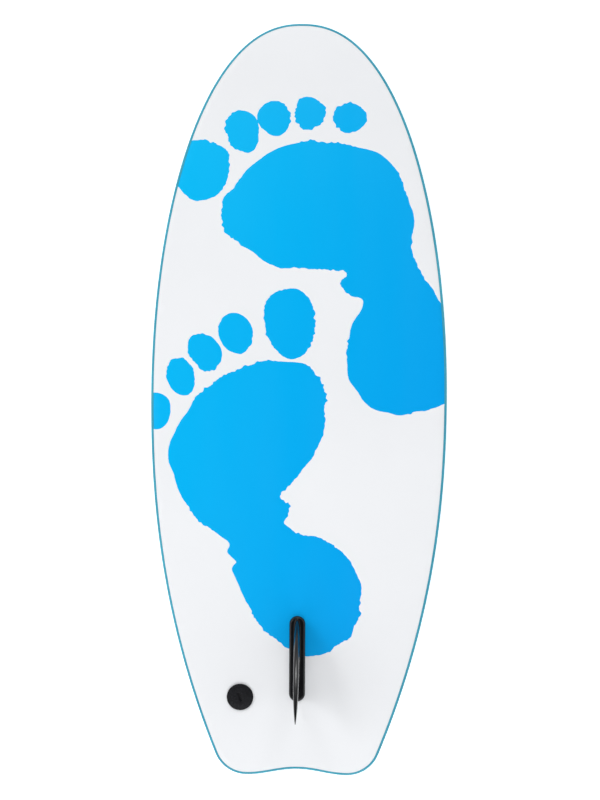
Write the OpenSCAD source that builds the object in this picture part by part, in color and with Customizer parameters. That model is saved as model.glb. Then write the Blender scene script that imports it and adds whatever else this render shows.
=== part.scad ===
// Short soft-top surfboard, lying deck down with its bottom and its fin up.
// +Y points to the nose and +Z up. The origin is on the floor, below mid-board.

/* [Outline] */
// Length from nose to tail
board_l = 1140; // [1050:10:1250]
// Width at the widest point, which is at mid-length
board_w = 444; // [424:2:480]
// Width that the two sides would have at the very tail
tail_w = 220; // [200:2:240]
// Fullness of the nose: 2 is half an ellipse
nose_fullness = 2.25; // [2:0.05:2.5]
// Power of the side curve from the wide point to the tail
tail_curve = 2.2; // [2:0.1:2.6]
// Height above the tail's end at which each corner starts to round
corner_h = 32; // [26:1:34]
// Depth of the hollow in the tail's end
notch_d = 9; // [4:1:14]

/* [Section] */
// Thickness at the nose
nose_t = 25; // [22:1:32]
// Thickness at the tail
tail_t = 33; // [32:0.5:37]
// Thickness where the straight rear part ends
rear_t = 44; // [43:0.5:48]
// How far the nose bends towards the deck
nose_kick = 35; // [20:1:50]
// Width of the round from the rail to the flat of the deck
rail_r = 28; // [22:1:32]
// Height of the small round between the rail and the bottom
edge_h = 6; // [5:0.5:8]
// Width of the line of deck skin that shows round the bottom
lip_w = 4; // [2.5:0.5:5]

/* [Skins and core] */
// Thickness of the foam skin on the deck and the rails
skin_t = 4; // [3.5:0.5:5]
// Thickness of the foam sheet below the slick
sheet_t = 2; // [1.5:0.5:2.5]
// Thickness of the slick bottom
slick_t = 1; // [0.8:0.1:1.5]
// Distance from the centre line to each stringer
stringer_x = 50; // [40:1:55]
// Thickness of each stringer
stringer_t = 5; // [3:1:8]

/* [Fin] */
// Distance from mid-board back to the middle of the fin's base
fin_back = 392; // [380:1:400]
// Length of the base flange
fin_base_l = 130; // [124:2:140]
// Width of the base flange
fin_base_w = 24; // [20:1:30]
// Height of the base flange
fin_base_h = 5; // [4:0.5:7]
// Height of the blade above the flange
fin_h = 112; // [90:2:130]
// Greatest thickness of the blade
fin_t = 8.5; // [7:0.5:11]
// How far the tip lies behind the middle of the base
fin_rake = 75; // [50:1:90]
// Distance between the two fin screws
screw_gap = 90; // [80:2:94]
// Depth of the two bosses below the bottom
boss_depth = 24; // [20:1:24]

/* [Leash plug] */
// Distance from the centre line to the plug
plug_x = 86; // [84:1:92]
// Distance from mid-board back to the plug
plug_back = 451; // [440:1:460]
// Diameter of the cap and of the cup's flange
plug_d = 40; // [34:1:40]
// Thickness of the cap above the bottom
cap_h = 3; // [2.5:0.5:4]
// Diameter of the bar that the leash is tied to
bar_d = 5; // [4:0.5:6]

/* [Hidden] */
$fn = 64;

// Points along one half of the outline: nose, side, tail corner and tail hollow
nose_steps = 24;
side_steps = 18;
corner_steps = 8;
hollow_steps = 6;
// Segments of the rail's round and of the small edge round
rail_steps = 6;
edge_steps = 3;

// Lengthwise places
half_l = board_l / 2;
half_w = board_w / 2;
bend_y = 100;          // the deck is flat behind this and bends ahead of it
straight_y = -300;     // the bottom is flat behind this
rest_y = half_l - rail_r;

// Slopes of the flat rear deck and of the flat rear bottom
deck_slope = nose_kick / (2 * rest_y);
taper_slope = (rear_t - tail_t) / (straight_y + half_l);
bottom_slope = deck_slope + taper_slope;
bottom_tilt = atan(bottom_slope);

// Clearance round each plug, boss and sleeve, and between mating threads
fit_gap = 0.1;

// Fin fastening, in depths below the bottom
boss_r = 6;
insert_r = 4.2;
insert_l = 13;
thread_r = 3;
shank_r = 2.9;
sleeve_r = 7.5;
sleeve_wall = 1.4;
sleeve_floor = 2.5;
sleeve_flange_r = 12;
sleeve_flange_t = 1.5;
washer_t = 1.2;
washer_r = 5.9;
head_r = 5.2;
head_h = 4;
hex_r = 2.3;
hex_depth = 2.4;
shank_reach = 12;      // the screw's end stops this far below the bottom
flange_sink = 1;       // the flanges sit this far inside the deck

// Leash plug, in depths below the bottom
cap_tube_r = 8;
cap_tube_l = 17;
stem_r = 5.8;
cup_r = 11;
cup_wall = 2.5;
cup_depth = 16;
cup_floor = 2.5;
cup_flange_t = 2.5;
bar_depth = 7;         // from the cup's mouth to the bar's axis
slot_l = 15;
slot_w = 4;
slot_depth = 1.8;
slot_turn = 16;

// ---- Shape of the board -------------------------------------------------

// Thickness of the board: a straight taper behind straight_y, a parabola ahead of it
thin_rate = (rear_t + taper_slope * (half_l - straight_y) - nose_t) / pow(half_l - straight_y, 2);
function thickness(y) =
    rear_t + taper_slope * (y - straight_y) - thin_rate * pow(max(0, y - straight_y), 2);

// Height of the deck's centre line before the board is set on the floor
bend_rate = nose_kick / pow(rest_y - bend_y, 2);
function deck_line(y) = deck_slope * (y + rest_y) - bend_rate * pow(max(0, y - bend_y), 2);

// Right half of the outline, from the nose to the middle of the tail
function side_x(y) = half_w - (half_w - tail_w / 2) * pow(-y / half_l, tail_curve);
function side_lean(y) =
    tail_curve * (half_w - tail_w / 2) / half_l * pow(-y / half_l, tail_curve - 1);

corner_y = corner_h - half_l;
corner_lean = atan(side_lean(corner_y));
corner_r = corner_h / (1 - sin(corner_lean));
corner_x = side_x(corner_y) - corner_r * cos(corner_lean);

function nose_point(a) = [half_w * pow(cos(a), 2 / nose_fullness), half_l * sin(a)];
function side_point(y) = [side_x(y), y];
function corner_point(a) =
    [corner_x + corner_r * cos(a), corner_r - half_l - corner_r * sin(a)];
function hollow_point(x) = [x, notch_d * (1 + cos(180 * x / corner_x)) / 2 - half_l];

half_outline = concat(
    [[0, half_l]],
    [for (i = [1 : nose_steps]) nose_point(90 * pow(1 - i / nose_steps, 1.25))],
    [for (i = [1 : side_steps]) side_point(corner_y * i / side_steps)],
    [for (i = [1 : corner_steps])
        corner_point(corner_lean + (90 - corner_lean) * i / corner_steps)],
    [for (i = [1 : hollow_steps]) hollow_point(corner_x * (1 - i / hollow_steps))]);
half_n = len(half_outline) - 1;
ring_n = 2 * half_n;
outline = [for (i = [0 : ring_n - 1])
    i <= half_n ? half_outline[i] : [-half_outline[ring_n - i].x, half_outline[ring_n - i].y]];

// Unit normals that point out of the outline
function unit(v) = v / norm(v);
function along(i) = unit(outline[(i + 1) % ring_n] - outline[i])
                  + unit(outline[i] - outline[(i + ring_n - 1) % ring_n]);
normals = [for (i = [0 : ring_n - 1]) let (t = unit(along(i))) [-t.y, t.x]];

// A ring is [inset, share of the thickness, height added]: a line round the board
function rail_ring(gap, a) =
    [rail_r - (rail_r - gap) * cos(a), 1 - sin(a), gap - (edge_h + gap) * (1 - sin(a))];
function edge_ring(a) = [lip_w * (1 - cos(a)), 1, -edge_h * (1 - sin(a))];
function bare_ring(ring) = [for (i = [0 : ring_n - 1])
    let (p = outline[i] - ring[0] * normals[i])
    [p.x, p.y, deck_line(p.y) + ring[1] * thickness(p.y) + ring[2]]];

// The rail from the flat of the deck up to the widest line, at a depth below the skin
function rail(gap) = [for (i = [0 : rail_steps]) rail_ring(gap, 90 * (1 - i / rail_steps))];

// The whole board is lifted so that its lowest point is on the floor
lift = -min([for (ring = rail(0)) for (p = bare_ring(ring)) p.z]);
function deck_z(y) = deck_line(y) + lift;
function bottom_z(y) = deck_z(y) + thickness(y);
function ring_points(ring) = [for (p = bare_ring(ring)) [p.x, p.y, p.z + lift]];

// A solid from a list of rings, closed by a cap on the first and on the last one.
// A cap is strips across the board, and a fan round the tail behind fan_at.
fan_at = nose_steps + side_steps - 2;
fan_y = half_outline[fan_at].y - 20;

function cap_centre(ring) = [0, fan_y, deck_z(fan_y) + ring[1] * thickness(fan_y) + ring[2]];
function cap_faces(first, centre) = concat(
    [[first, first + 1, first + ring_n - 1]],
    [for (i = [1 : fan_at - 1])
        [first + i, first + i + 1, first + ring_n - i - 1, first + ring_n - i]],
    [for (i = [fan_at : ring_n - fan_at - 1]) [first + i, first + i + 1, centre]],
    [[first + ring_n - fan_at, first + fan_at, centre]]);
function flipped(faces) = [for (f = faces) [for (i = [len(f) - 1 : -1 : 0]) f[i]]];

module ring_solid(rings) {
    last = len(rings) - 1;
    points = concat(
        [for (ring = rings) each ring_points(ring)],
        [cap_centre(rings[0]), cap_centre(rings[last])]);
    walls = [for (k = [0 : last - 1]) for (i = [0 : ring_n - 1])
        let (j = (i + 1) % ring_n, a = k * ring_n, b = a + ring_n)
        each [[a + i, a + j, b + j], [a + i, b + j, b + i]]];
    polyhedron(
        points = points,
        faces = concat(
            flipped(walls),
            flipped(cap_faces(0, len(points) - 2)),
            cap_faces(last * ring_n, len(points) - 1)),
        convexity = 4);
}

// ---- Places on the flat rear of the bottom --------------------------------

// Puts its children on the bottom, with +Z straight out of it
module on_bottom(x, y) {
    translate([x, y, bottom_z(y)]) rotate([bottom_tilt, 0, 0]) children();
}

// Distance from the bottom to the deck, straight through at y
function through(y) = thickness(y) / (cos(bottom_tilt) + deck_slope * sin(bottom_tilt));

// A round bar from depth a to depth b below the bottom
module rod(r, a, b) {
    translate([0, 0, -b]) cylinder(r = r, h = b - a);
}

// The two fin screws stand square to the fin's base, ahead of its middle and behind it
front = 1;
rear = -1;
function screw_y(end) = -fin_back + end * screw_gap / 2 * cos(bottom_tilt);
module at_screw(end) {
    on_bottom(0, -fin_back) translate([0, end * screw_gap / 2, 0]) children();
}

// ---- Pockets that the plugs stand in --------------------------------------

module fin_pocket(end) {
    deep = through(screw_y(end));
    at_screw(end) {
        rod(boss_r + fit_gap, -5, boss_depth + fit_gap);
        rod(sleeve_r + fit_gap, boss_depth, deep + 5);
        rod(sleeve_flange_r + fit_gap, deep - flange_sink - sleeve_flange_t, deep + 5);
    }
}

module leash_pocket() {
    mouth = through(-plug_back) - flange_sink;
    on_bottom(-plug_x, -plug_back) {
        rod(cap_tube_r + fit_gap, -5, mouth);
        rod(cup_r + cup_wall + fit_gap, mouth - cup_depth - cup_floor, mouth + 5);
        rod(plug_d / 2 + fit_gap, mouth - cup_flange_t, mouth + 5);
    }
}

// ---- Core and stringers ---------------------------------------------------

core_rings = concat(rail(skin_t), [[lip_w + 1, 1, -slick_t - sheet_t]]);

// The slice of the core between two distances from the centre line
module core_slice(x0, x1) {
    intersection() {
        ring_solid(core_rings);
        translate([x0, -half_l, 0]) cube([x1 - x0, board_l, 200]);
    }
}

module core_left() {
    color("whitesmoke") difference() {
        core_slice(-half_w, -stringer_x - stringer_t / 2);
        leash_pocket();
    }
}

module core_centre() {
    color("whitesmoke") difference() {
        core_slice(-stringer_x + stringer_t / 2, stringer_x - stringer_t / 2);
        fin_pocket(front);
        fin_pocket(rear);
    }
}

module core_right() {
    color("whitesmoke") core_slice(stringer_x + stringer_t / 2, half_w);
}

module stringer(side) {
    color("burlywood")
        core_slice(side * stringer_x - stringer_t / 2, side * stringer_x + stringer_t / 2);
}

module stringer_left() {
    stringer(-1);
}

module stringer_right() {
    stringer(1);
}

// ---- Skins ----------------------------------------------------------------

skin_rings = concat(
    rail(0),
    [for (i = [1 : edge_steps]) edge_ring(90 * i / edge_steps)],
    [[lip_w, 1, -slick_t - sheet_t], [lip_w + 1, 1, -slick_t - sheet_t]],
    [for (i = [rail_steps : -1 : 0]) rail(skin_t)[i]]);

module deck_skin() {
    color("deepskyblue") difference() {
        ring_solid(skin_rings);
        fin_pocket(front);
        fin_pocket(rear);
        leash_pocket();
    }
}

// A sheet on the bottom, from depth a to depth b below it
module bottom_sheet(a, b) {
    difference() {
        ring_solid([[lip_w, 1, -b], [lip_w, 1, -a]]);
        fin_pocket(front);
        fin_pocket(rear);
        leash_pocket();
    }
}

module bottom_foam() {
    color("lightcyan") bottom_sheet(slick_t, slick_t + sheet_t);
}

module bottom_slick() {
    color("white") bottom_sheet(0, slick_t);
}

// ---- Fin ------------------------------------------------------------------

blade_levels = 12;
blade_sides = 9;
blade_edge = 0.9;      // thickness left at the leading and trailing edges
blade_top = 0.995;     // the tip is cut off at this share of the height
blade_sink = 1;
fullest_at = 0.4;      // share of the chord at which the blade is thickest

// Middle and half length of the blade at a share w of its height
function blade_mid(w) = -fin_rake * pow(w, 2.2);
function blade_half(w) = (fin_base_l / 2 - 5) * pow(1 - pow(w, 1.4), 0.75);
function blade_thick(w) = blade_edge + (fin_t - blade_edge) * (1 - pow(w, 8));

// Half thickness at a share c of the chord: a round nose, then a taper to the rear
function foil(c, t) = blade_edge / 2 + (t - blade_edge) / 2 * (c < fullest_at
    ? sqrt(1 - pow(1 - c / fullest_at, 6))
    : 1 - pow((c - fullest_at) / (1 - fullest_at), 1.6));

function blade_half_section(w, z, side) = [for (i = [0 : blade_sides])
    let (c = (1 - cos(180 * i / blade_sides)) / 2)
    [side * foil(c, blade_thick(w)), blade_mid(w) + blade_half(w) * (1 - 2 * c), z]];
function blade_section(w, z) = concat(
    blade_half_section(w, z, 1),
    [for (i = [blade_sides : -1 : 0]) blade_half_section(w, z, -1)[i]]);

module fin_blade() {
    n = 2 * (blade_sides + 1);
    last = blade_levels;
    // Levels crowd towards the tip, and the lowest one is sunk into the flange
    polyhedron(
        points = [for (k = [0 : last]) let (w = blade_top * sin(90 * k / last))
            each blade_section(w, fin_base_h + (k == 0 ? -blade_sink : w * fin_h))],
        faces = concat(
            [[for (i = [n - 1 : -1 : 0]) i]],
            [for (k = [0 : last - 1]) for (i = [0 : n - 1])
                let (j = (i + 1) % n, a = k * n, b = a + n)
                each [[a + i, a + j, b + j], [a + i, b + j, b + i]]],
            [[for (i = [0 : n - 1]) last * n + i]]));
}

// A round-ended bar along Y whose half width goes from r1 to r2 over its height
module round_bar(length, r1, r2, h) {
    reach = length / 2 - r1;
    for (end = [-1, 1]) {
        translate([0, end * reach, 0]) cylinder(r1 = r1, r2 = r2, h = h);
    }
    rotate([90, 0, 0])
        linear_extrude(2 * reach, center = true)
            polygon([[-r1, 0], [r1, 0], [r2, h], [-r2, h]]);
}

module fin() {
    bevel = fin_base_h / 2;
    flange_r = fin_base_w / 2;
    color("black") on_bottom(0, -fin_back) {
        round_bar(fin_base_l, flange_r, flange_r, fin_base_h - bevel);
        translate([0, 0, fin_base_h - bevel])
            round_bar(fin_base_l, flange_r, flange_r - bevel, bevel);
        fin_blade();
        for (end = [front, rear]) {
            translate([0, end * screw_gap / 2, 0]) difference() {
                rod(boss_r, 0, boss_depth);
                rod(insert_r, boss_depth - insert_l, boss_depth + 1);
            }
        }
    }
}

// ---- Fin fastening --------------------------------------------------------

module fin_insert(end) {
    color("gold") at_screw(end) difference() {
        rod(insert_r, boss_depth - insert_l, boss_depth);
        rod(thread_r, boss_depth - insert_l - 1, boss_depth + 1);
    }
}

// Depth of the sleeve's floor, which the washer lies on
seat = boss_depth + 2 * fit_gap + sleeve_floor;

module fin_sleeve(end) {
    mouth = through(screw_y(end)) - flange_sink;
    color("dimgray") at_screw(end) difference() {
        union() {
            rod(sleeve_r, seat - sleeve_floor, mouth);
            rod(sleeve_flange_r, mouth - sleeve_flange_t, mouth);
        }
        rod(sleeve_r - sleeve_wall, seat, mouth + 1);
        rod(shank_r + 0.4, seat - sleeve_floor - 1, seat + 1);
    }
}

module fin_washer(end) {
    color("silver") at_screw(end) difference() {
        rod(washer_r, seat, seat + washer_t);
        rod(shank_r + 0.3, seat - 1, seat + washer_t + 1);
    }
}

module fin_screw(end) {
    head_top = seat + washer_t;
    color("silver") at_screw(end) difference() {
        union() {
            rod(shank_r, shank_reach, head_top);
            rod(head_r, head_top, head_top + head_h);
        }
        translate([0, 0, -head_top - head_h - 1])
            cylinder(r = hex_r, h = hex_depth + 1, $fn = 6);
    }
}

module front_fin_insert() { fin_insert(front); }
module rear_fin_insert() { fin_insert(rear); }
module front_fin_sleeve() { fin_sleeve(front); }
module rear_fin_sleeve() { fin_sleeve(rear); }
module front_fin_washer() { fin_washer(front); }
module rear_fin_washer() { fin_washer(rear); }
module front_fin_screw() { fin_screw(front); }
module rear_fin_screw() { fin_screw(rear); }

// ---- Leash plug -----------------------------------------------------------

cup_mouth = through(-plug_back) - flange_sink;

module leash_cap() {
    bevel = 0.8;
    color("black") on_bottom(-plug_x, -plug_back) difference() {
        union() {
            cylinder(r = plug_d / 2, h = cap_h - bevel);
            translate([0, 0, cap_h - bevel])
                cylinder(r1 = plug_d / 2, r2 = plug_d / 2 - bevel, h = bevel);
            rod(cap_tube_r, 0, cap_tube_l);
        }
        rod(stem_r + fit_gap, 2, cap_tube_l + 1);
        translate([0, 0, cap_h - slot_depth])
            rotate([0, 0, slot_turn]) round_slot(slot_l, slot_w / 2, slot_depth + 1);
    }
}

// A round-ended slot along Y
module round_slot(length, r, h) {
    for (end = [-1, 1]) {
        translate([0, end * (length / 2 - r), 0]) cylinder(r = r, h = h);
    }
    translate([-r, r - length / 2, 0]) cube([2 * r, length - 2 * r, h]);
}

// Children lie along the bar, across the cup
module along_bar() {
    translate([0, 0, bar_depth - cup_mouth]) rotate([0, 90, 0]) children();
}

module leash_cup() {
    outer = cup_r + cup_wall;
    floor_top = cup_mouth - cup_depth - cup_floor;
    color("dimgray") on_bottom(-plug_x, -plug_back) difference() {
        union() {
            rod(stem_r, 4, floor_top);
            rod(outer, floor_top, cup_mouth);
            rod(plug_d / 2, cup_mouth - cup_flange_t, cup_mouth);
        }
        rod(cup_r, cup_mouth - cup_depth, cup_mouth + 1);
        along_bar() cylinder(r = bar_d / 2, h = 2 * outer + 2, center = true);
    }
}

module leash_bar() {
    color("silver") on_bottom(-plug_x, -plug_back)
        along_bar() cylinder(r = bar_d / 2, h = 2 * (cup_r + cup_wall) - 1, center = true);
}

// ---- The assembly ---------------------------------------------------------

core_left();
core_centre();
core_right();
stringer_left();
stringer_right();
deck_skin();
bottom_foam();
bottom_slick();
fin();
front_fin_insert();
rear_fin_insert();
front_fin_sleeve();
rear_fin_sleeve();
front_fin_washer();
rear_fin_washer();
front_fin_screw();
rear_fin_screw();
leash_cap();
leash_cup();
leash_bar();
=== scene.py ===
"""A short soft-top surfboard, lying deck down with its bottom and its fin up.

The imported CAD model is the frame. The skins, the fin and the plugs that can be seen
are rebuilt here from the same formulas at a finer step, and every part gets its finish.
"""
import math

import bmesh
import bpy
import numpy as np
from mathutils import Matrix, Vector, geometry, kdtree, noise


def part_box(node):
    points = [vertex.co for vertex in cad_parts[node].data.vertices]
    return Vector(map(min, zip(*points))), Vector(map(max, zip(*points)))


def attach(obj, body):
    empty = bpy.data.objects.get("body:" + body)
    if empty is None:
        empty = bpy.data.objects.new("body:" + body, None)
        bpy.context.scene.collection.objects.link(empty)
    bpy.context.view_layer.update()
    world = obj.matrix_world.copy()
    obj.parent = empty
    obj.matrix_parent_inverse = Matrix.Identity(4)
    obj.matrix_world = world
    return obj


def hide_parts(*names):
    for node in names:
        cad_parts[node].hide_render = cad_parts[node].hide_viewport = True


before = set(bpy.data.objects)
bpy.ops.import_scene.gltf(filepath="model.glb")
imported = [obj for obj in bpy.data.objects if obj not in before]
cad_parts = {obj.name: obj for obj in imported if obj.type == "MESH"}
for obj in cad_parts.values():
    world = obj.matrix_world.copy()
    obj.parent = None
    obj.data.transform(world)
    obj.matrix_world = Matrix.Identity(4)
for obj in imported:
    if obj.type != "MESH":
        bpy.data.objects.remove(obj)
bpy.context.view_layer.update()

MM = 0.001
ROOT = "root"

# ---------------------------------------------------------------------------
# The board's shape: the design's own formulas, in metres

skin_low, skin_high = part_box("deck_skin")
HALF_L = skin_high.y
HALF_W = skin_high.x

TAIL_HALF_W = 110 * MM
NOSE_FULLNESS = 2.25
TAIL_CURVE = 2.2
CORNER_H = 32 * MM
NOTCH_D = 9 * MM

NOSE_T = 25 * MM
TAIL_T = 33 * MM
REAR_T = 44 * MM
NOSE_KICK = 35 * MM
BEND_Y = 100 * MM
STRAIGHT_Y = -300 * MM

RAIL_R = 28 * MM
EDGE_H = 6 * MM
LIP_W = 4 * MM
SKIN_T = 4 * MM
SHEET_T = 2 * MM
SLICK_T = 1 * MM

# The deck touches the floor at REST_Y ahead and at the tail behind
REST_Y = HALF_L - RAIL_R
DECK_SLOPE = NOSE_KICK / (2 * REST_Y)
TAPER = (REAR_T - TAIL_T) / (STRAIGHT_Y + HALF_L)
TILT = math.atan(DECK_SLOPE + TAPER)
BEND_RATE = NOSE_KICK / (REST_Y - BEND_Y) ** 2
THIN_RATE = (REAR_T + TAPER * (HALF_L - STRAIGHT_Y) - NOSE_T) / (HALF_L - STRAIGHT_Y) ** 2

OUTLINE_STEP = 4 * MM
RAIL_STEPS = 24
NOSE_CROWDING = 1.25    # over 1 puts more of the outline's points near the nose's tip


def thickness(y):
    """Thickness of the board: a straight taper at the rear, a parabola ahead of it."""
    ahead = np.maximum(0, y - STRAIGHT_Y)
    return REAR_T + TAPER * (y - STRAIGHT_Y) - THIN_RATE * ahead ** 2


def deck_line(y):
    """Height of the deck before the board is set on the floor."""
    return DECK_SLOPE * (y + REST_Y) - BEND_RATE * np.maximum(0, y - BEND_Y) ** 2


def side_x(y):
    """Half width of the board behind its middle, where y is below 0."""
    return HALF_W - (HALF_W - TAIL_HALF_W) * (-y / HALF_L) ** TAIL_CURVE


def half_outline(steps=160):
    """The right half of the outline, closely spaced, from the nose to the tail's middle."""
    share = np.linspace(0, 1, steps)
    nose = math.pi / 2 * (1 - share) ** NOSE_CROWDING
    front = np.c_[HALF_W * np.cos(nose) ** (2 / NOSE_FULLNESS), HALF_L * np.sin(nose)]
    front[0, 0] = 0
    corner_y = CORNER_H - HALF_L
    side_y = corner_y * share
    side = np.c_[side_x(side_y), side_y]
    slope = TAIL_CURVE * (HALF_W - TAIL_HALF_W) / HALF_L * (-corner_y / HALF_L) ** (TAIL_CURVE - 1)
    lean = math.atan(slope)
    radius = CORNER_H / (1 - math.sin(lean))
    middle = side_x(corner_y) - radius * math.cos(lean)
    turn = lean + (math.pi / 2 - lean) * share
    corner = np.c_[middle + radius * np.cos(turn), radius - HALF_L - radius * np.sin(turn)]
    hollow_x = middle * (1 - share)
    rise = NOTCH_D * (1 + np.cos(np.pi * hollow_x / middle)) / 2
    hollow = np.c_[hollow_x, rise - HALF_L]
    return np.vstack([front, side[1:], corner[1:], hollow[1:]])


def evenly(loop, step):
    """A closed loop of points, spaced evenly at about step."""
    closed = np.vstack([loop, loop[:1]])
    along = np.r_[0, np.cumsum(np.linalg.norm(np.diff(closed, axis=0), axis=1))]
    places = np.linspace(0, along[-1], max(8, round(along[-1] / step)), endpoint=False)
    return np.c_[np.interp(places, along, closed[:, 0]), np.interp(places, along, closed[:, 1])]


def loop_normals(loop):
    """Unit normals on the left of a closed loop: outward when it runs clockwise."""
    way = np.roll(loop, -1, axis=0) - np.roll(loop, 1, axis=0)
    way /= np.linalg.norm(way, axis=1)[:, None]
    return np.c_[-way[:, 1], way[:, 0]]


right_half = half_outline()
outline = evenly(np.vstack([right_half, right_half[-2:0:-1] * (-1, 1)]), OUTLINE_STEP)
outward = loop_normals(outline)


def bare_ring(inset, share, extra):
    """A line round the board: inset from the outline, at a share of the thickness."""
    flat = outline - inset * outward
    return np.c_[flat, deck_line(flat[:, 1]) + share * thickness(flat[:, 1]) + extra]


def rail_rings(gap, steps):
    """The rail from the flat of the deck to the widest line, at a depth below the skin."""
    rings = []
    for angle in np.linspace(math.pi / 2, 0, steps + 1):
        down = 1 - math.sin(angle)
        rings.append((RAIL_R - (RAIL_R - gap) * math.cos(angle), down, gap - (EDGE_H + gap) * down))
    return rings


lowest = min(bare_ring(*r)[:, 2].min() for r in rail_rings(0, RAIL_STEPS))
LIFT = skin_low.z - lowest


def ring(inset, share, extra):
    """A bare ring, raised so that the board stands on the floor."""
    return bare_ring(inset, share, extra) + (0, 0, LIFT)


def deck_z(y):
    """Height of the deck above the floor, on the board that lies deck down."""
    return deck_line(y) + LIFT


def bottom_z(y):
    """Height of the bottom, which faces up."""
    return deck_z(y) + thickness(y)


# ---------------------------------------------------------------------------
# Mesh tools

SHARP_OVER = 35            # degrees between two faces from which their edge is sharp
WELD = 0.002 * MM          # corners nearer than this become one
SLIVER = 0.0001 * MM       # edges shorter than this are dropped
ROW_PITCH = 0.866          # rows of an even triangle grid, per step
CLEAR_OF_LOOPS = 0.45      # how far the grid stays off the loops, per step


def make_object(name, mesh, sharp=SHARP_OVER):
    """A piece of the object, shaded smooth but for edges over sharp degrees."""
    mesh.shade_smooth()
    mesh.set_sharp_from_angle(angle=math.radians(sharp))
    obj = bpy.data.objects.new(name, mesh)
    bpy.context.scene.collection.objects.link(obj)
    return obj


def welded(name, polygons, sharp=SHARP_OVER):
    """One closed mesh from loose polygons that share corners."""
    bm = bmesh.new()
    for polygon in polygons:
        bm.faces.new([bm.verts.new(p) for p in polygon])
    bmesh.ops.remove_doubles(bm, verts=bm.verts, dist=WELD)
    bmesh.ops.dissolve_degenerate(bm, edges=bm.edges, dist=SLIVER)
    bmesh.ops.recalc_face_normals(bm, faces=bm.faces)
    mesh = bpy.data.meshes.new(name)
    bm.to_mesh(mesh)
    bm.free()
    return make_object(name, mesh, sharp)


def bridge(a, b):
    """Quads between two closed rings with the same number of points."""
    n = len(a)
    return [(a[i], a[(i + 1) % n], b[(i + 1) % n], b[i]) for i in range(n)]


def loft(rings):
    """Quads through a row of rings, each with the same number of points."""
    polygons = []
    for a, b in zip(rings, rings[1:]):
        polygons += bridge(a, b)
    return polygons


def inside(points, loop):
    """Which of the points lie inside a closed loop."""
    hit = np.zeros(len(points), bool)
    for (x0, y0), (x1, y1) in zip(loop, np.roll(loop, -1, axis=0)):
        if y0 == y1:
            continue
        crosses = (points[:, 1] < y0) != (points[:, 1] < y1)
        hit ^= crosses & (points[:, 0] < x0 + (points[:, 1] - y0) * (x1 - x0) / (y1 - y0))
    return hit


def fill(outer, holes, lines, step):
    """Triangles that fill a loop round its holes. Lines are loops whose edges are kept."""
    loops = [outer, *holes, *lines]
    points = np.vstack(loops)
    edges, first = [], 0
    for loop in loops:
        edges += [(first + i, first + (i + 1) % len(loop)) for i in range(len(loop))]
        first += len(loop)
    tree = kdtree.KDTree(len(points))
    for i, (x, y) in enumerate(points):
        tree.insert((x, y, 0), i)
    tree.balance()
    low, high = outer.min(0), outer.max(0)
    spread = []
    for row, y in enumerate(np.arange(low[1], high[1], step * ROW_PITCH)):
        for x in np.arange(low[0] + (row % 2) * step / 2, high[0], step):
            if tree.find((x, y, 0))[2] > step * CLEAR_OF_LOOPS:
                spread.append((x, y))
    everything = [Vector(p) for p in points] + [Vector(p) for p in spread]
    verts, _, faces, _, _, _ = geometry.delaunay_2d_cdt(everything, edges, [], 0, 1e-7, False)
    verts = np.array([tuple(v) for v in verts])
    faces = np.array(faces)
    middles = verts[faces].mean(1)
    keep = inside(middles, outer)
    for hole in holes:
        keep &= ~inside(middles, hole)
    return verts, faces[keep], middles[keep]


def border_edges(faces):
    """The edges that only one of the triangles has, in that triangle's direction."""
    seen = {}
    for a, b, c in faces:
        for edge in ((a, b), (b, c), (c, a)):
            seen[edge] = True
    return [edge for edge in seen if (edge[1], edge[0]) not in seen]


def turned(matrix, points):
    """Points moved by a matrix."""
    return [matrix @ Vector(p) for p in points]


def circle(radius, height, steps):
    """A ring of points round the local Z axis, clockwise from above."""
    turn = [-2 * math.pi * i / steps for i in range(steps)]
    return [(radius * math.cos(a), radius * math.sin(a), height) for a in turn]


def on_bottom(x, y):
    """The frame of a part that stands on the flat rear of the bottom, square to it."""
    return Matrix.Translation((x, y, bottom_z(y))) @ Matrix.Rotation(TILT, 4, "X")


def to_deck(matrix, x, y, offset):
    """Where the line through a local (x, y), along a plug's axis, meets the deck."""
    depth = 0.03
    for _ in range(6):
        point = matrix @ Vector((x, y, -depth))
        depth += (point.z - deck_z(point.y) - offset) / math.cos(TILT)
    return matrix @ Vector((x, y, -depth))


def finished(obj, slot, material, *nodes):
    """Sets a piece's body and material, and hides the CAD nodes it stands for. The slot is not used."""
    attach(obj, ROOT)
    if nodes:
        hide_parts(*nodes)
    obj.data.materials.clear()
    obj.data.materials.append(material)
    return obj


# ---------------------------------------------------------------------------
# Materials

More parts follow.
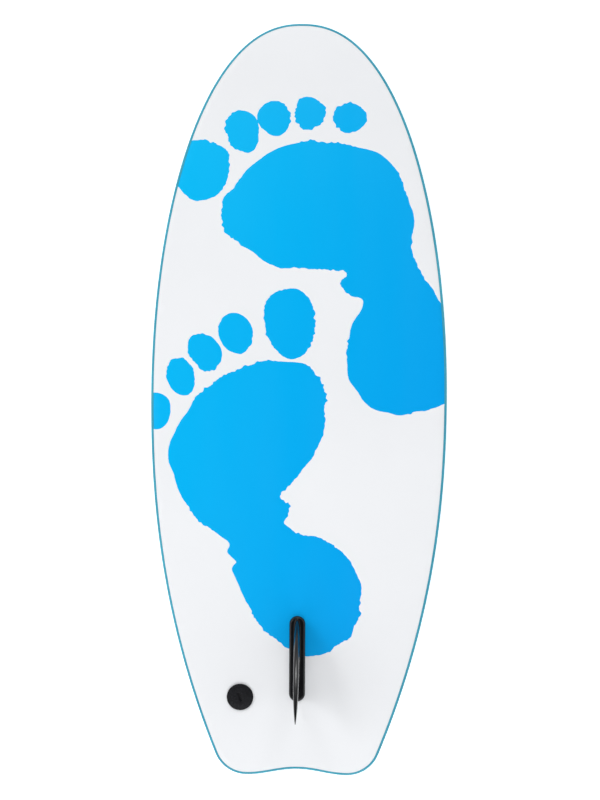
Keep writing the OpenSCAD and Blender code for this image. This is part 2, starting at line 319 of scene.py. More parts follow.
class Finish:
    """A Principled material with short calls for the nodes that this scene needs."""

    def __init__(self, name, color, roughness, **sockets):
        self.material = bpy.data.materials.new(name)
        self.material.use_nodes = True
        self.tree = self.material.node_tree
        self.shader = self.tree.nodes["Principled BSDF"]
        self.shader.inputs["Base Color"].default_value = (*color, 1)
        self.shader.inputs["Roughness"].default_value = roughness
        for socket, value in sockets.items():
            self.shader.inputs[socket.replace("_", " ")].default_value = value
        self.place = self.add("ShaderNodeTexCoord").outputs["Object"]
        self.last_bump = None

    def add(self, kind, **settings):
        node = self.tree.nodes.new(kind)
        for key, value in settings.items():
            setattr(node, key, value)
        return node

    def link(self, out, into):
        self.tree.links.new(out, into)

    def stretched(self, x, y, z):
        """Object coordinates scaled by x, y and z."""
        node = self.add("ShaderNodeMapping")
        node.inputs["Scale"].default_value = (x, y, z)
        self.link(self.place, node.inputs["Vector"])
        return node.outputs["Vector"]

    def noise(self, size, detail=3, vector=None):
        """Soft noise whose features are about size metres across."""
        node = self.add("ShaderNodeTexNoise")
        node.inputs["Scale"].default_value = 1 / size
        node.inputs["Detail"].default_value = detail
        self.link(vector or self.place, node.inputs["Vector"])
        return node.outputs["Fac"]

    def cells(self, size, feature="F1", vector=None):
        """Distance inside round cells that are about size metres across."""
        node = self.add("ShaderNodeTexVoronoi", feature=feature)
        node.inputs["Scale"].default_value = 1 / size
        self.link(vector or self.place, node.inputs["Vector"])
        return node.outputs["Distance"]

    def ramp(self, value, *stops):
        """Colours by value; each stop is (place, colour)."""
        node = self.add("ShaderNodeValToRGB")
        elements = node.color_ramp.elements
        while len(elements) < len(stops):
            elements.new(0.5)
        for element, (place, color) in zip(elements, stops):
            element.position = place
            element.color = (*color, 1)
        self.link(value, node.inputs["Fac"])
        return node.outputs["Color"]

    def between(self, value, low, high, start=0.3, end=0.7):
        """A number that goes from low to high as value goes from start to end."""
        node = self.add("ShaderNodeMapRange")
        for socket, number in zip(("From Min", "From Max", "To Min", "To Max"), (start, end, low, high)):
            node.inputs[socket].default_value = number
        self.link(value, node.inputs["Value"])
        return node.outputs["Result"]

    def blend(self, factor, a, b):
        """Mixes two colours, each a socket or a plain colour."""
        node = self.add("ShaderNodeMix", data_type="RGBA")
        self.link(factor, node.inputs[0])
        for socket, value in ((node.inputs[6], a), (node.inputs[7], b)):
            if isinstance(value, tuple):
                socket.default_value = (*value, 1)
            else:
                self.link(value, socket)
        return node.outputs[2]

    def color(self, out):
        self.link(out, self.shader.inputs["Base Color"])

    def rough(self, out):
        self.link(out, self.shader.inputs["Roughness"])

    def bump(self, height, depth, strength=1.0):
        """Adds a bump of depth metres on top of the earlier ones."""
        node = self.add("ShaderNodeBump")
        node.inputs["Strength"].default_value = strength
        node.inputs["Distance"].default_value = depth
        self.link(height, node.inputs["Height"])
        if self.last_bump:
            self.link(self.last_bump, node.inputs["Normal"])
        self.last_bump = node.outputs["Normal"]
        self.link(self.last_bump, self.shader.inputs["Normal"])


def satin(finish):
    """The surface of slick HDPE film: a faint orange peel and a few handling marks."""
    scuffs = finish.noise(0.05, 5, finish.stretched(1, 0.12, 1))
    finish.rough(finish.between(scuffs, 0.34, 0.5))
    finish.bump(finish.noise(0.035, 2), 0.00022, 0.35)
    finish.bump(finish.noise(0.0035, 2), 0.00004, 0.3)
    return finish.material


def slick_white():
    """White film, with faint broad changes of tone."""
    pale, deep = (0.87, 0.885, 0.91), (0.85, 0.865, 0.89)
    finish = Finish("slick_white", pale, 0.45, IOR=1.22)
    finish.color(finish.ramp(finish.noise(0.22, 2), (0.35, deep), (0.65, pale)))
    return satin(finish)


def print_blue():
    """Blue ink in the film, with painted light and shade: lighter at the lit left of the nose, darker at
    the shaded right of the tail.
    """
    pale, deep = (0.0, 0.5, 0.925), (0.0, 0.34, 0.84)
    finish = Finish("print_blue", pale, 0.45, IOR=1.22)
    # Painted shade: the blue runs from pale on the lit upper left to deep on the shaded lower right.
    slant = finish.add("ShaderNodeVectorMath", operation="DOT_PRODUCT")
    slant.inputs[1].default_value = (0.93, -0.37, 0)
    finish.link(finish.place, slant.inputs[0])
    painted_shade_grade = finish.between(slant.outputs["Value"], 0, 1, -0.3, 0.3)
    finish.color(finish.ramp(painted_shade_grade, (0, pale), (1, deep)))
    return satin(finish)


def deck_foam():
    """Closed-cell foam skin: blue, with a fine leather-like grain and soft sheen."""
    finish = Finish("deck_foam", (0.05, 0.36, 0.48), 0.62, IOR=1.25)
    blotch = finish.noise(0.06, 4)
    base = finish.ramp(blotch, (0.3, (0.045, 0.32, 0.44)), (0.7, (0.065, 0.4, 0.53)))
    pores = finish.cells(0.0022)
    finish.color(finish.blend(finish.between(pores, 0.0, 0.35, 0.1, 0.75), base, (0.025, 0.23, 0.33)))
    finish.rough(finish.between(finish.noise(0.01, 3), 0.55, 0.72))
    finish.bump(finish.noise(0.018, 3), 0.0003, 0.4)
    finish.bump(pores, 0.0004, 0.5)
    return finish.material


def sheet_foam():
    """The thin sheet's fine closed cells."""
    finish = Finish("sheet_foam", (0.8, 0.84, 0.87), 0.75)
    cells = finish.cells(0.0012)
    finish.color(finish.ramp(cells, (0.1, (0.84, 0.87, 0.9)), (0.8, (0.7, 0.75, 0.79))))
    finish.bump(cells, 0.0002, 0.5)
    return finish.material


def bead_foam():
    """Expanded bead foam: round beads pressed into flat-sided cells."""
    finish = Finish("eps_foam", (0.9, 0.9, 0.89), 0.7)
    beads = finish.cells(0.0045)
    seams = finish.cells(0.0045, "DISTANCE_TO_EDGE")
    finish.color(finish.ramp(seams, (0.0, (0.72, 0.72, 0.7)), (0.12, (0.92, 0.92, 0.91))))
    finish.bump(beads, -0.0006, 0.6)
    return finish.material


def stringer_wood():
    """Plywood strip: long grain with darker lines."""
    finish = Finish("stringer_wood", (0.62, 0.43, 0.24), 0.6)
    grain = finish.noise(0.006, 6, finish.stretched(1, 0.03, 1))
    finish.color(finish.ramp(grain, (0.3, (0.46, 0.29, 0.14)), (0.5, (0.66, 0.46, 0.26)),
                             (0.75, (0.74, 0.56, 0.35))))
    finish.bump(grain, 0.0002, 0.5)
    return finish.material


def fin_black():
    """Glossy moulded nylon with faint flow marks."""
    finish = Finish("fin_black", (0.004, 0.005, 0.007), 0.3, IOR=1.46)
    flow = finish.noise(0.03, 3, finish.stretched(1, 0.35, 1))
    finish.color(finish.ramp(flow, (0.3, (0.0008, 0.001, 0.002)), (0.7, (0.002, 0.0025, 0.004))))
    finish.rough(finish.between(finish.noise(0.012, 4), 0.16, 0.26))
    finish.bump(flow, 0.0004, 0.35)
    finish.bump(finish.noise(0.0015, 2), 0.00003, 0.5)
    return finish.material


def plug_black():
    """Spark-textured plastic: matt, with a lighter speckle that is partly the grain's mottling and partly
    painted glints.
    """
    finish = Finish("plug_black", (0.006, 0.006, 0.008), 0.5, IOR=1.3)
    grain = finish.noise(0.0022, 5)
    # The lightest stop is partly the grain's own mottling and partly painted glints of the spark texture.
    finish.color(finish.ramp(grain, (0.4, (0.002, 0.0022, 0.0035)), (0.6, (0.007, 0.0075, 0.010)),
                             (0.75, (0.02, 0.021, 0.026))))
    finish.rough(finish.between(finish.noise(0.008, 3), 0.42, 0.58))
    finish.bump(grain, 0.0004, 0.6)
    return finish.material


def turned_metal(name, color, roughness):
    """Turned metal: fine rings and a few dull patches."""
    finish = Finish(name, color, roughness, Metallic=1.0)
    fine = finish.noise(0.0005, 3, finish.stretched(0.25, 0.25, 3))
    dull = tuple(c * 0.82 for c in color)
    finish.color(finish.ramp(finish.noise(0.004, 4), (0.35, dull), (0.65, color)))
    finish.rough(finish.between(fine, roughness * 0.8, roughness * 1.4))
    finish.bump(fine, 0.00003, 0.6)
    return finish.material


WHITE = slick_white()
BLUE = print_blue()
DECK = deck_foam()
SHEET = sheet_foam()
BEADS = bead_foam()
WOOD = stringer_wood()
FIN = fin_black()
PLUG = plug_black()
BRASS = turned_metal("brass", (0.78, 0.6, 0.3), 0.3)
STEEL = turned_metal("stainless", (0.62, 0.62, 0.63), 0.28)

# ---------------------------------------------------------------------------
# Places and sizes of the fin's and the leash plug's parts, as in the design

FIN_FRAME = on_bottom(0, -392 * MM)
SCREW_REACH = 45 * MM
PLUG_AT = (-86 * MM, -451 * MM)
PLUG_FRAME = on_bottom(*PLUG_AT)
SCREW_FRAMES = {
    "front": FIN_FRAME @ Matrix.Translation((0, SCREW_REACH, 0)),
    "rear": FIN_FRAME @ Matrix.Translation((0, -SCREW_REACH, 0))}
GAP = 0.1 * MM         # between a fitting and its hole
SINK = 1 * MM          # fittings sit this far below the deck
FINE_STEPS = 72        # sides of a turned fitting
PLAIN_STEPS = 48       # sides of a small hole or pin
BOSS_R = 6 * MM
BOSS_DEPTH = 24 * MM
SLEEVE_FLANGE_R = 12 * MM
PLUG_R = 20 * MM
CAP_TUBE_R = 8 * MM


def through(matrix):
    """Distance from the bottom to the deck along a plug's axis."""
    return (to_deck(matrix, 0, 0, 0) - matrix.translation).length


# ---------------------------------------------------------------------------
# The deck skin: foam that wraps the deck and the rails

DECK_STEP = 14 * MM
INNER_STEP = 20 * MM


def deck_hole_rings(matrix, radius):
    """A hole through the skin with a soft rounded mouth, from the deck inwards."""
    rings = []
    mouth = ((0.8, 0), (0.45, 0.08), (0.15, 0.35), (0, 0.8))    # millimetres wider, and deep
    for widen, offset in (*mouth, (0, SKIN_T / MM)):
        rings.append([to_deck(matrix, x, y, offset * MM)
                      for x, y, _ in circle(radius + widen * MM, 0, FINE_STEPS)])
    return rings


def deck_skin():
    """The rail and the lip outside, the ledge under the film, and the inner face."""
    holes = [deck_hole_rings(SCREW_FRAMES["front"], SLEEVE_FLANGE_R + GAP),
             deck_hole_rings(SCREW_FRAMES["rear"], SLEEVE_FLANGE_R + GAP),
             deck_hole_rings(PLUG_FRAME, PLUG_R + GAP)]
    outer = [ring(*r) for r in rail_rings(0, RAIL_STEPS)]
    edge = [ring(LIP_W * (1 - math.cos(a)), 1, -EDGE_H * (1 - math.sin(a)))
            for a in np.linspace(0, math.pi / 2, 9)[1:]]
    ledge = [ring(LIP_W, 1, -SLICK_T - SHEET_T), ring(LIP_W + MM, 1, -SLICK_T - SHEET_T)]
    inner = [ring(*r) for r in reversed(rail_rings(SKIN_T, RAIL_STEPS // 2))]
    polygons = loft(outer + edge + ledge + inner)
    faces_of_skin = ((outer[0], DECK_STEP, 0, 0), (inner[-1], INNER_STEP, SKIN_T, -1))
    for rail_ring, step, offset, level in faces_of_skin:
        verts, faces, _ = fill(rail_ring[:, :2], [np.array(h[level])[:, :2] for h in holes], [], step)
        points = np.c_[verts, deck_z(verts[:, 1]) + offset]
        polygons += [points[f] for f in faces]
    for hole in holes:
        polygons += loft(hole)
    return finished(welded("deck_skin_foam", polygons), "deck_foam", DECK, "deck_skin")


deck_skin()

# ---------------------------------------------------------------------------
# The prints: a pair of bare feet, in millimetres on the bottom, nose up the page.
# A sole is a smooth loop through a few points; a toe is an egg (x, y, rx, ry, lean).

FRONT_SOLE = [(-118, 290), (-102, 318), (-62, 358), (-15, 384), (35, 386), (85, 380), (130, 360),
              (157, 318), (170, 268), (169, 225), (180, 192), (198, 166), (206, 152), (235, 110),
              (262, 30), (225, -2), (180, -20), (135, -22), (98, -2), (73, 38), (72, 85), (84, 122),
              (95, 146), (76, 156), (60, 172), (68, 190), (10, 193), (-42, 199), (-75, 222), (-112, 248)]
REAR_SOLE = [(-148, 8), (-112, 34), (-62, 55), (-10, 54), (18, 46), (41, 14), (41, -20), (32, -66),
             (8, -106), (-26, -146), (-12, -158), (-18, -182), (-4, -200), (40, -212), (80, -244),
             (96, -295), (88, -342), (54, -378), (12, -388), (-30, -368), (-64, -332), (-88, -284),
             (-98, -258), (-92, -246), (-106, -232), (-104, -218), (-124, -202), (-162, -170),
             (-188, -118), (-195, -75), (-174, -30)]
FRONT_TOES = [(-150, 342, 45, 46, 10), (-88, 402, 26, 32, 24), (-40, 421, 25, 27, 5),
              (12, 429, 24, 25, -15), (73, 423, 24, 24, -25)]
REAR_TOES = [(-14, 112, 38, 53, 8), (-94, 97, 26, 31, 32), (-141, 69, 24, 30, 35),
             (-177, 32, 21, 29, 20), (-216, -20, 25, 28, 5)]


TEAR_STEP = 1.3 * MM
LOOP_STEPS = 16        # points between two of a sole's corners
EGG_STEPS = 64


def smooth_loop(points):
    """A closed Catmull-Rom curve through the points."""
    p = np.array(points, float)
    out = []
    for a, b, c, d in zip(np.roll(p, 1, 0), p, np.roll(p, -1, 0), np.roll(p, -2, 0)):
        for t in np.linspace(0, 1, LOOP_STEPS, endpoint=False):
            out.append(0.5 * (2 * b + (c - a) * t + (2 * a - 5 * b + 4 * c - d) * t ** 2
                              + (3 * b - 3 * c + d - a) * t ** 3))
    return np.array(out)


def egg(x, y, rx, ry, lean):
    """A toe: an ellipse, narrower at its root, leaning by some degrees to the left."""
    t = np.linspace(0, 2 * np.pi, EGG_STEPS, endpoint=False)[::-1]
    narrow = 1 + 0.12 * np.sin(t)
    u, v = rx * narrow * np.cos(t), ry * np.sin(t)
    a = math.radians(lean)
    return np.c_[x + u * math.cos(a) - v * math.sin(a), y + u * math.sin(a) + v * math.cos(a)]


def ragged(loop):
    """A print's torn edge: nibbled in some stretches and nearly smooth in others."""
    loop = evenly(loop * MM, TEAR_STEP)
    push = []
    for x, y in loop:
        here = Vector((x, y, 0))
        torn = min(1.0, max(0.12, 0.45 + 1.8 * noise.noise(here * 13)))
        nibble = 5.5 * (0.16 - abs(noise.noise(here * 62))) + 2.6 * noise.noise(here * 210)
        push.append((3.2 * noise.noise(here * 34) + torn * nibble) * MM)
    return loop + loop_normals(loop) * np.array(push)[:, None]


prints = {"front_footprint": [ragged(smooth_loop(FRONT_SOLE))] + [ragged(egg(*t)) for t in FRONT_TOES],
          "rear_footprint": [ragged(smooth_loop(REAR_SOLE))] + [ragged(egg(*t)) for t in REAR_TOES]}


# ---------------------------------------------------------------------------
# The slick bottom: one sheet, cut into the white film and the printed film

EDGE_ROUND = 0.7 * MM
EDGE_DROP = 0.3 * MM
FILM_STEP = 9 * MM


def sheet_piece(name, verts, faces, on_border):
    """A closed slab of film from some of the sheet's triangles."""
    z = bottom_z(verts[:, 1])
    top = np.c_[verts, z - np.where(on_border, EDGE_DROP, 0)]
    under = np.c_[verts, z - SLICK_T]
    polygons = [top[f] for f in faces] + [under[f[::-1]] for f in faces]
    polygons += [(top[b], top[a], under[a], under[b]) for a, b in border_edges(faces)]
    return welded(name, polygons)


def slick_bottom():
    """Fills the bottom with triangles that follow the prints' edges, then shares them out."""
    outer = ring(LIP_W, 1, 0)[:, :2]
    rounded = ring(LIP_W + EDGE_ROUND, 1, 0)[:, :2]
    holes = [np.array(turned(FIN_FRAME, [(x, y + side * SCREW_REACH, 0) for x, y, _ in
                                         circle(BOSS_R + GAP, 0, PLAIN_STEPS)]))[:, :2] for side in (1, -1)]
    holes.append(np.array(turned(PLUG_FRAME, circle(CAP_TUBE_R + GAP, 0, PLAIN_STEPS)))[:, :2])
    loops = [loop for group in prints.values() for loop in group]
    verts, faces, middles = fill(outer, holes, [rounded, *loops], FILM_STEP)
    on_border = np.zeros(len(verts), bool)
    on_border[[i for edge in border_edges(faces) for i in edge]] = True
    left = np.ones(len(faces), bool)
    for name, group in prints.items():
        mine = np.zeros(len(faces), bool)
        for loop in group:
            mine |= inside(middles, loop)
        mine &= left
        left &= ~mine
        finished(sheet_piece(name, verts, faces[mine], on_border), "print_blue", BLUE)
    finished(sheet_piece("slick_film", verts, faces[left], on_border), "slick_white", WHITE,
             "bottom_slick")


slick_bottom()

# ---------------------------------------------------------------------------
# The fin

FLANGE_L = 130 * MM
FLANGE_R = 12 * MM
FLANGE_H = 5 * MM
FLANGE_BEVEL = 2.5 * MM
BLADE_H = 112 * MM
BLADE_T = 8.5 * MM
BLADE_EDGE = 0.9 * MM
BLADE_INSET = 5 * MM    # from each end of the flange to the blade
FULLEST_AT = 0.4        # share of the chord at which the blade is thickest
BLADE_TOP = 0.995
BLADE_RINGS = 60
RAKE = 75 * MM
ROOT_FILLET = 1.6 * MM
HALF_POINTS = 48
INSERT_R = 4.2 * MM
INSERT_L = 13 * MM


def both_sides(half):
    """A closed ring from the points of its right side, front to back."""
    return [(x, y) for x, y in half] + [(-x, y) for x, y in reversed(half)]


def blade_ring(w, z, spread=0.0):
    """The blade's section at a share w of its height, grown by spread."""
    middle = -RAKE * w ** 2.2
    half = (FLANGE_L / 2 - BLADE_INSET) * (1 - w ** 1.4) ** 0.75
    thick = BLADE_EDGE + (BLADE_T - BLADE_EDGE) * (1 - w ** 8)
    stretch = 1 + spread / half
    side = []
    for i in range(HALF_POINTS + 1):
        c = (1 - math.cos(math.pi * i / HALF_POINTS)) / 2
        if c < FULLEST_AT:
            share = math.sqrt(1 - (1 - c / FULLEST_AT) ** 6)
        else:
            share = 1 - ((c - FULLEST_AT) / (1 - FULLEST_AT)) ** 1.6
        x = BLADE_EDGE / 2 + (thick - BLADE_EDGE) / 2 * share
        to_end = min(c, 1 - c) * 2 * half / (BLADE_EDGE / 2)
        x *= math.sqrt(max(0.0, 1 - (1 - min(1, to_end)) ** 2))
        x += spread * math.sqrt(max(0.0, 1 - (2 * c - 1) ** 8))
        y = middle + half * stretch * (1 - 2 * c)
        side.append((x, y))
    return [(x, y, z) for x, y in both_sides(side)]


def flange_ring(inset, z):
    """The flange's round-ended outline, inset, at a height."""
    r, reach = FLANGE_R - inset, FLANGE_L / 2 - FLANGE_R
    side = []
    for i in range(HALF_POINTS + 1):
        y = (reach + r) * math.cos(math.pi * i / HALF_POINTS)
        past = max(0.0, abs(y) - reach)
        side.append((math.sqrt(max(0.0, r * r - past * past)), y))
    return [(x, y, z) for x, y in both_sides(side)]


def fin():
    """The flange, a fillet, the blade and the two screw bosses below."""
    rings = [flange_ring(0.3 * MM, 0), flange_ring(0.05 * MM, 0.1 * MM), flange_ring(0, 0.3 * MM),
             flange_ring(0, FLANGE_H - FLANGE_BEVEL - 0.3 * MM),
             flange_ring(0.12 * MM, FLANGE_H - FLANGE_BEVEL)]
    for share in (0.1, 0.9):
        rings.append(flange_ring(share * FLANGE_BEVEL, FLANGE_H - FLANGE_BEVEL * (1 - share)))
    rings.append(flange_ring(FLANGE_BEVEL + 0.2 * MM, FLANGE_H - 0.03 * MM))
    rings.append(flange_ring(FLANGE_BEVEL + 0.6 * MM, FLANGE_H))
    for angle in np.radians(np.arange(0, 91, 15)):
        rise = ROOT_FILLET * (1 - math.cos(angle))
        rings.append(blade_ring(rise / BLADE_H, FLANGE_H + rise, ROOT_FILLET * (1 - math.sin(angle))))
    for w in np.sin(np.linspace(0, math.pi / 2, BLADE_RINGS)) * BLADE_TOP:
        if w * BLADE_H > ROOT_FILLET * 1.3:
            rings.append(blade_ring(w, FLANGE_H + w * BLADE_H))
    rings = [turned(FIN_FRAME, r) for r in rings]
    polygons = loft(rings)
    n = len(rings[0])
    for last in (rings[0], rings[-1]):
        polygons += [(last[i], last[i + 1], last[n - 2 - i], last[n - 1 - i]) for i in range(n // 2 - 1)]
    for matrix in SCREW_FRAMES.values():
        profile = [(BOSS_R, 0), (BOSS_R, 0.6 * MM - BOSS_DEPTH), (BOSS_R - 0.6 * MM, -BOSS_DEPTH),
                   (INSERT_R, -BOSS_DEPTH), (INSERT_R, INSERT_L - BOSS_DEPTH), (0, INSERT_L - BOSS_DEPTH)]
        polygons += lathe_polygons([(0, 0), *profile], matrix, PLAIN_STEPS)
    return finished(welded("fin_moulding", polygons, 40), "fin_black", FIN, "fin")


def lathe_polygons(profile, matrix, steps=96):
    """A turned solid round a local Z axis, from a profile that starts and ends on the axis."""
    rings = [turned(matrix, circle(max(r, 0), z, steps)) for r, z in profile]
    polygons = loft(rings[1:-1])
    for tip, around in ((rings[0][0], rings[1]), (rings[-1][0], rings[-2])):
        polygons += [(tip, around[i], around[(i + 1) % steps]) for i in range(steps)]
    return polygons


fin()

# ---------------------------------------------------------------------------
# Turned fittings: the plug, the sleeves, the washers and the screws

def cut_and_bevel(obj, cutters, bevel):
    """Takes the cutters out of a piece, then rounds its sharp edges."""
    for cutter in cutters:
        boolean = obj.modifiers.new("cut", "BOOLEAN")
        boolean.operation = "DIFFERENCE"
        boolean.solver = "EXACT"
        boolean.object = cutter
    rounding = obj.modifiers.new("round", "BEVEL")
    rounding.width = bevel
    rounding.segments = 3
    rounding.limit_method = "ANGLE"
    rounding.angle_limit = math.radians(40)
    bpy.context.view_layer.update()
    mesh = bpy.data.meshes.new_from_object(obj.evaluated_get(bpy.context.evaluated_depsgraph_get()))
    obj.modifiers.clear()
    obj.data = mesh
    mesh.shade_smooth()
    mesh.set_sharp_from_angle(angle=math.radians(SHARP_OVER))
    for cutter in cutters:
        bpy.data.objects.remove(cutter)
    return obj


def slot_polygons(matrix, length, radius, low, high):
    """A round-ended slot along the local Y axis."""
    turn = [math.pi * i / 16 for i in range(17)]
    reach = length / 2 - radius
    flat = [(radius * math.cos(a), reach + radius * math.sin(a)) for a in turn]
    flat += [(-x, -y) for x, y in flat]
    rings = [turned(matrix, [(x, y, z) for x, y in flat]) for z in (low, high)]
    return loft(rings) + [rings[0], rings[1]]


def leash_cap():
    """The disc on the bottom, with its tube down into the board and its coin slot."""
    top = 3 * MM
    tube = 17 * MM
    stem = 5.9 * MM
    slot_turn = math.radians(16)
    slot_l, slot_r, slot_depth = 15 * MM, 2 * MM, 1.8 * MM
    profile = [(0, top + 0.25 * MM), (PLUG_R * 0.5, top + 0.17 * MM), (PLUG_R - 1.2 * MM, top),
               (PLUG_R - 0.4 * MM, top - 0.25 * MM), (PLUG_R, top - 0.9 * MM), (PLUG_R, 0), (CAP_TUBE_R, 0),
               (CAP_TUBE_R, -tube), (stem, -tube), (stem, -2 * MM), (0, -2 * MM)]
    cap = welded("leash_cap_disc", lathe_polygons(profile, PLUG_FRAME))
    turn = PLUG_FRAME @ Matrix.Rotation(slot_turn, 4, "Z")
    slot = welded("slot", slot_polygons(turn, slot_l, slot_r, top - slot_depth, top + 2 * MM))
    cut_and_bevel(cap, [slot], 0.25 * MM)
    return finished(cap, "plug_black", PLUG, "leash_cap")


def leash_cup():
    """The cup in the deck, with its stem down into the cap and the bar across it."""
    mouth = through(PLUG_FRAME) - SINK
    inner, wall, depth, floor, flange, stem = (v * MM for v in (11, 2.5, 16, 2.5, 2.5, 5.8))
    top = mouth - depth - floor
    profile = [(0, -4 * MM), (stem, -4 * MM), (stem, -top), (inner + wall, -top),
               (inner + wall, flange - mouth), (PLUG_R, flange - mouth), (PLUG_R, -mouth),
               (inner, -mouth), (inner, depth - mouth), (0, depth - mouth)]
    cup = welded("leash_cup_moulding", lathe_polygons(profile, PLUG_FRAME))
    across = PLUG_FRAME @ Matrix.Translation((0, 0, 7 * MM - mouth)) @ Matrix.Rotation(math.pi / 2, 4, "Y")
    bar_r = 2.5 * MM
    reach = inner + wall + 2 * MM
    bore = [(0, -reach), (bar_r, -reach), (bar_r, reach), (0, reach)]
    hole = welded("bar_hole", lathe_polygons(bore, across, PLAIN_STEPS))
    cut_and_bevel(cup, [hole], 0.3 * MM)
    finished(cup, "plug_black", PLUG, "leash_cup")
    end, chamfer = inner + wall - 0.5 * MM, 0.4 * MM
    profile = [(0, -end), (bar_r - chamfer, -end), (bar_r, chamfer - end), (bar_r, end - chamfer),
               (bar_r - chamfer, end), (0, end)]
    bar = welded("leash_bar_pin", lathe_polygons(profile, across, PLAIN_STEPS))
    finished(bar, "stainless", STEEL, "leash_bar")


def fin_fittings(end):
    """One screw with its washer and its sleeve in the deck."""
    matrix = SCREW_FRAMES[end]
    mouth = through(matrix) - SINK
    start = BOSS_DEPTH + 2 * GAP
    seat = start + 2.5 * MM
    outer, inner, hole, flange = (v * MM for v in (7.5, 6.1, 3.3, 1.5))
    profile = [(hole, -start), (outer, -start), (outer, flange - mouth), (SLEEVE_FLANGE_R, flange - mouth),
               (SLEEVE_FLANGE_R, -mouth), (inner, -mouth), (inner, -seat), (hole, -seat), (hole, -start)]
    rings = [turned(matrix, circle(r, z, FINE_STEPS)) for r, z in profile]
    sleeve = welded(end + "_fin_sleeve_cup", loft(rings))
    cut_and_bevel(sleeve, [], 0.25 * MM)
    finished(sleeve, "plug_black", PLUG, end + "_fin_sleeve")

    under = seat + 1.2 * MM
    profile = [(3.2, -seat / MM), (5.9, -seat / MM), (5.9, -under / MM), (3.2, -under / MM),
               (3.2, -seat / MM)]
    rings = [turned(matrix, circle(r * MM, z * MM, FINE_STEPS)) for r, z in profile]
    washer = welded(end + "_fin_washer_ring", loft(rings))
    cut_and_bevel(washer, [], 0.15 * MM)
    finished(washer, "stainless", STEEL, end + "_fin_washer")

    head = 4 * MM
    shank, wide = 2.9 * MM, 5.2 * MM
    profile = [(0, -12 * MM), (shank - 0.6 * MM, -12 * MM), (shank, -12.6 * MM), (shank, -under),
               (wide, -under), (wide, -under - 1.2 * MM), (wide * 0.93, -under - 2.4 * MM),
               (wide * 0.76, -under - 3.4 * MM), (wide * 0.55, -under - head), (0, -under - head)]
    screw = welded(end + "_fin_screw_turned", lathe_polygons(profile, matrix, FINE_STEPS))
    bottom = -under - head
    flat = [(2.3 * MM * math.cos(math.pi * i / 3), 2.3 * MM * math.sin(math.pi * i / 3)) for i in range(6)]
    rings = [turned(matrix, [(x, y, z) for x, y in flat]) for z in (bottom - MM, bottom + 2.4 * MM)]
    socket = welded("hex_socket", loft(rings) + rings)
    cut_and_bevel(screw, [socket], 0.12 * MM)
    finished(screw, "stainless", STEEL, end + "_fin_screw")


leash_cap()
leash_cup()
fin_fittings("front")
fin_fittings("rear")

# ---------------------------------------------------------------------------
# Hidden pieces keep their CAD shape and get a finish of their own

KEPT = {"core_left": BEADS, "core_centre": BEADS, "core_right": BEADS,
        "stringer_left": WOOD, "stringer_right": WOOD, "bottom_foam": SHEET,
        "front_fin_insert": BRASS, "rear_fin_insert": BRASS}
for node, material in KEPT.items():
    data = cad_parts[node].data
    data.materials.clear()
    data.materials.append(material)

# ---------------------------------------------------------------------------
# Floor, light and camera

FLOOR_REACH = 16
FLOOR_DROP = 0.2 * MM       # keeps the floor clear of the deck that rests on it
FLOOR_GLOW = 0.55

# Each soft light: name, place, the point it faces, its two sides and its power
LIGHTS = [("key", (-1.62, 0.12, 2.15), (0, -0.3, 0.05), (0.6, 0.6), 7.5),
          ("left", (-2.6, 0, 2.2), (0, 0, 0.05), (2.3, 2.3), 21),
          ("right", (2.6, 0, 2.2), (0, 0, 0.05), (2.3, 2.3), 8),
          ("front", (0, 6.5, 5.9), (0, -0.4, 0.1), (7, 1.3), 340),
          ("rear", (0, -3.0, 2.2), (0, 0, 0.05), (2.3, 2.3), 59)]

# The Z of the direction up to which the walls are bright, and from which the ceiling is dim
WALL_TOP, CEILING_FROM = 0.1, 0.75
WALL_LIGHT, CEILING_LIGHT = 1.0, 0.1

CAMERA_UP = 3.5
CAMERA_ASIDE = 0.07         # to the right of the board
CAMERA_AIM = (0.0005, -0.0015)
CAMERA_ROLL = math.radians(0.42)
VIEW_W = 1.222              # width of the floor that the picture takes in
SENSOR_W = 36               # millimetres, as Blender gives a camera's sensor and lens


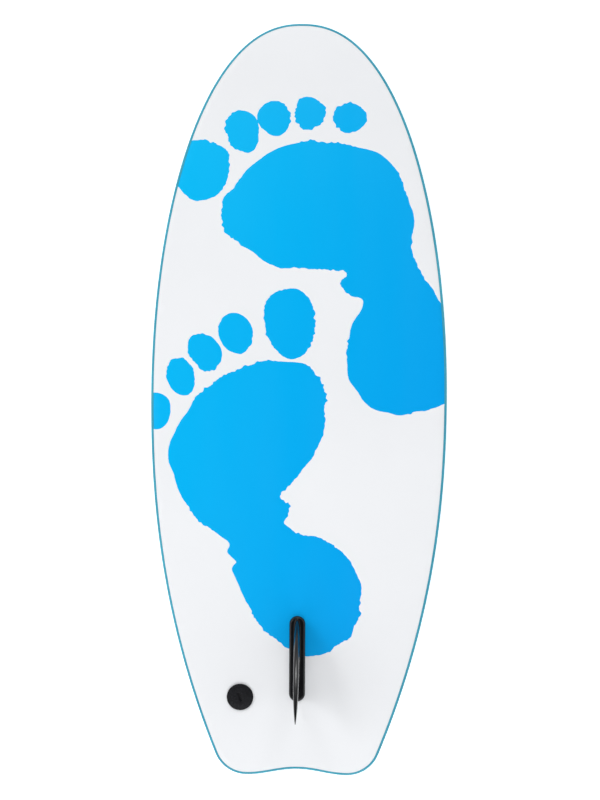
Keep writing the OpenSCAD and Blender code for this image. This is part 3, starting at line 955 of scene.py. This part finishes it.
def floor():
    """A wide pale floor that glows a little, so that it stays white round the board."""
    bm = bmesh.new()
    bmesh.ops.create_grid(bm, x_segments=2, y_segments=2, size=FLOOR_REACH)
    mesh = bpy.data.meshes.new("floor")
    bm.to_mesh(mesh)
    bm.free()
    plane = make_object("floor", mesh)
    plane.location.z = -FLOOR_DROP
    pale = Finish("floor_pale", (0.93, 0.93, 0.93), 0.85)
    pale.shader.inputs["Emission Color"].default_value = (1, 1, 1, 1)
    pale.shader.inputs["Emission Strength"].default_value = FLOOR_GLOW
    pale.bump(pale.noise(0.02, 2), 0.00005, 0.2)
    mesh.materials.append(pale.material)


def soft_light(name, at, aim, size, power):
    """A rectangular light at a place, turned to face a point."""
    data = bpy.data.lights.new(name, "AREA")
    data.shape = "RECTANGLE"
    data.size, data.size_y = size
    data.energy = power
    light = bpy.data.objects.new(name, data)
    light.location = at
    light.rotation_euler = (Vector(aim) - Vector(at)).to_track_quat("-Z", "Y").to_euler()
    bpy.context.scene.collection.objects.link(light)


def studio():
    """Pale walls all round and a dim ceiling."""
    world = bpy.data.worlds.new("studio")
    world.use_nodes = True
    nodes, links = world.node_tree.nodes, world.node_tree.links
    way = nodes.new("ShaderNodeTexCoord")
    split = nodes.new("ShaderNodeSeparateXYZ")
    level = nodes.new("ShaderNodeMapRange")
    level.inputs["From Min"].default_value = WALL_TOP
    level.inputs["From Max"].default_value = CEILING_FROM
    level.inputs["To Min"].default_value = WALL_LIGHT
    level.inputs["To Max"].default_value = CEILING_LIGHT
    links.new(way.outputs["Generated"], split.inputs[0])
    links.new(split.outputs["Z"], level.inputs["Value"])
    links.new(level.outputs["Result"], nodes["Background"].inputs["Strength"])
    nodes["Background"].inputs["Color"].default_value = (1, 1, 1, 1)
    bpy.context.scene.world = world


def camera():
    """Above the board, a little to its right, tilted back to it and rolled slightly."""
    data = bpy.data.cameras.new("camera")
    data.sensor_width = SENSOR_W
    data.lens = SENSOR_W * CAMERA_UP / VIEW_W
    obj = bpy.data.objects.new("camera", data)
    x, y = CAMERA_AIM
    obj.location = (x + CAMERA_ASIDE, y, CAMERA_UP)
    obj.rotation_euler = (0, math.atan(CAMERA_ASIDE / CAMERA_UP), CAMERA_ROLL)
    bpy.context.scene.collection.objects.link(obj)
    bpy.context.scene.camera = obj


floor()
for light in LIGHTS:
    soft_light(*light)
studio()
bpy.context.scene.view_settings.view_transform = "Standard"
camera()
